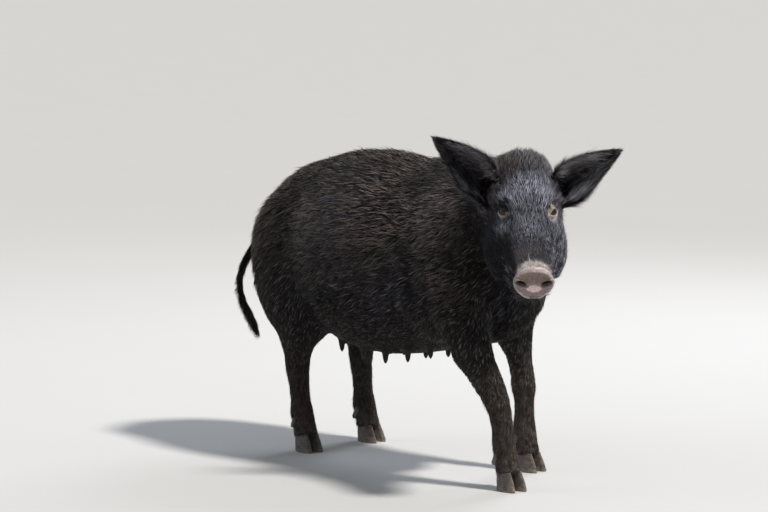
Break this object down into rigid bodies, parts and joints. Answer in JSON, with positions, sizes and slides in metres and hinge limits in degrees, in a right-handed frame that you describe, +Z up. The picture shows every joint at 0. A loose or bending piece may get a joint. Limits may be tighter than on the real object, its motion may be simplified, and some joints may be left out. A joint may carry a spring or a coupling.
{
  "type": "wild sow",
  "caption": "Life-size standing wild sow with erect ears, long snout, teats and hanging tail, head turned to her right.",
  "frame": {"origin": "on the floor, under the middle of the model's bounding box", "axes": "+X forward along the trunk, +Y to her left side, +Z up; her head is turned to her right, towards -Y"},
  "size_m": [1.2012, 0.4694, 0.7963],
  "materials": {
    "coat": "black bristle coat",
    "snout": "bare moist skin",
    "eye": "wet and glossy",
    "hoof": "worn horn"
  },
  "bodies": {
    "root": {"ear_left": "coat", "ear_right": "coat", "eye_left": "eye", "eye_right": "eye", "foreleg_left_claw_inner": "hoof", "foreleg_left_claw_outer": "hoof", "foreleg_left_dewclaw_inner": "hoof", "foreleg_left_dewclaw_outer": "hoof", "foreleg_left_lower": "coat", "foreleg_left_upper": "coat", "foreleg_right_claw_inner": "hoof", "foreleg_right_claw_outer": "hoof", "foreleg_right_dewclaw_inner": "hoof", "foreleg_right_dewclaw_outer": "hoof", "foreleg_right_lower": "coat", "foreleg_right_upper": "coat", "head": "coat", "hindleg_left_claw_inner": "hoof", "hindleg_left_claw_outer": "hoof", "hindleg_left_dewclaw_inner": "hoof", "hindleg_left_dewclaw_outer": "hoof", "hindleg_left_lower": "coat", "hindleg_left_upper": "coat", "hindleg_right_claw_inner": "hoof", "hindleg_right_claw_outer": "hoof", "hindleg_right_dewclaw_inner": "hoof", "hindleg_right_dewclaw_outer": "hoof", "hindleg_right_lower": "coat", "hindleg_right_upper": "coat", "lower_jaw": "coat", "neck": "coat", "snout_disc": "snout", "tail": "coat", "trunk": "coat"}
  },
  "joints": []
}
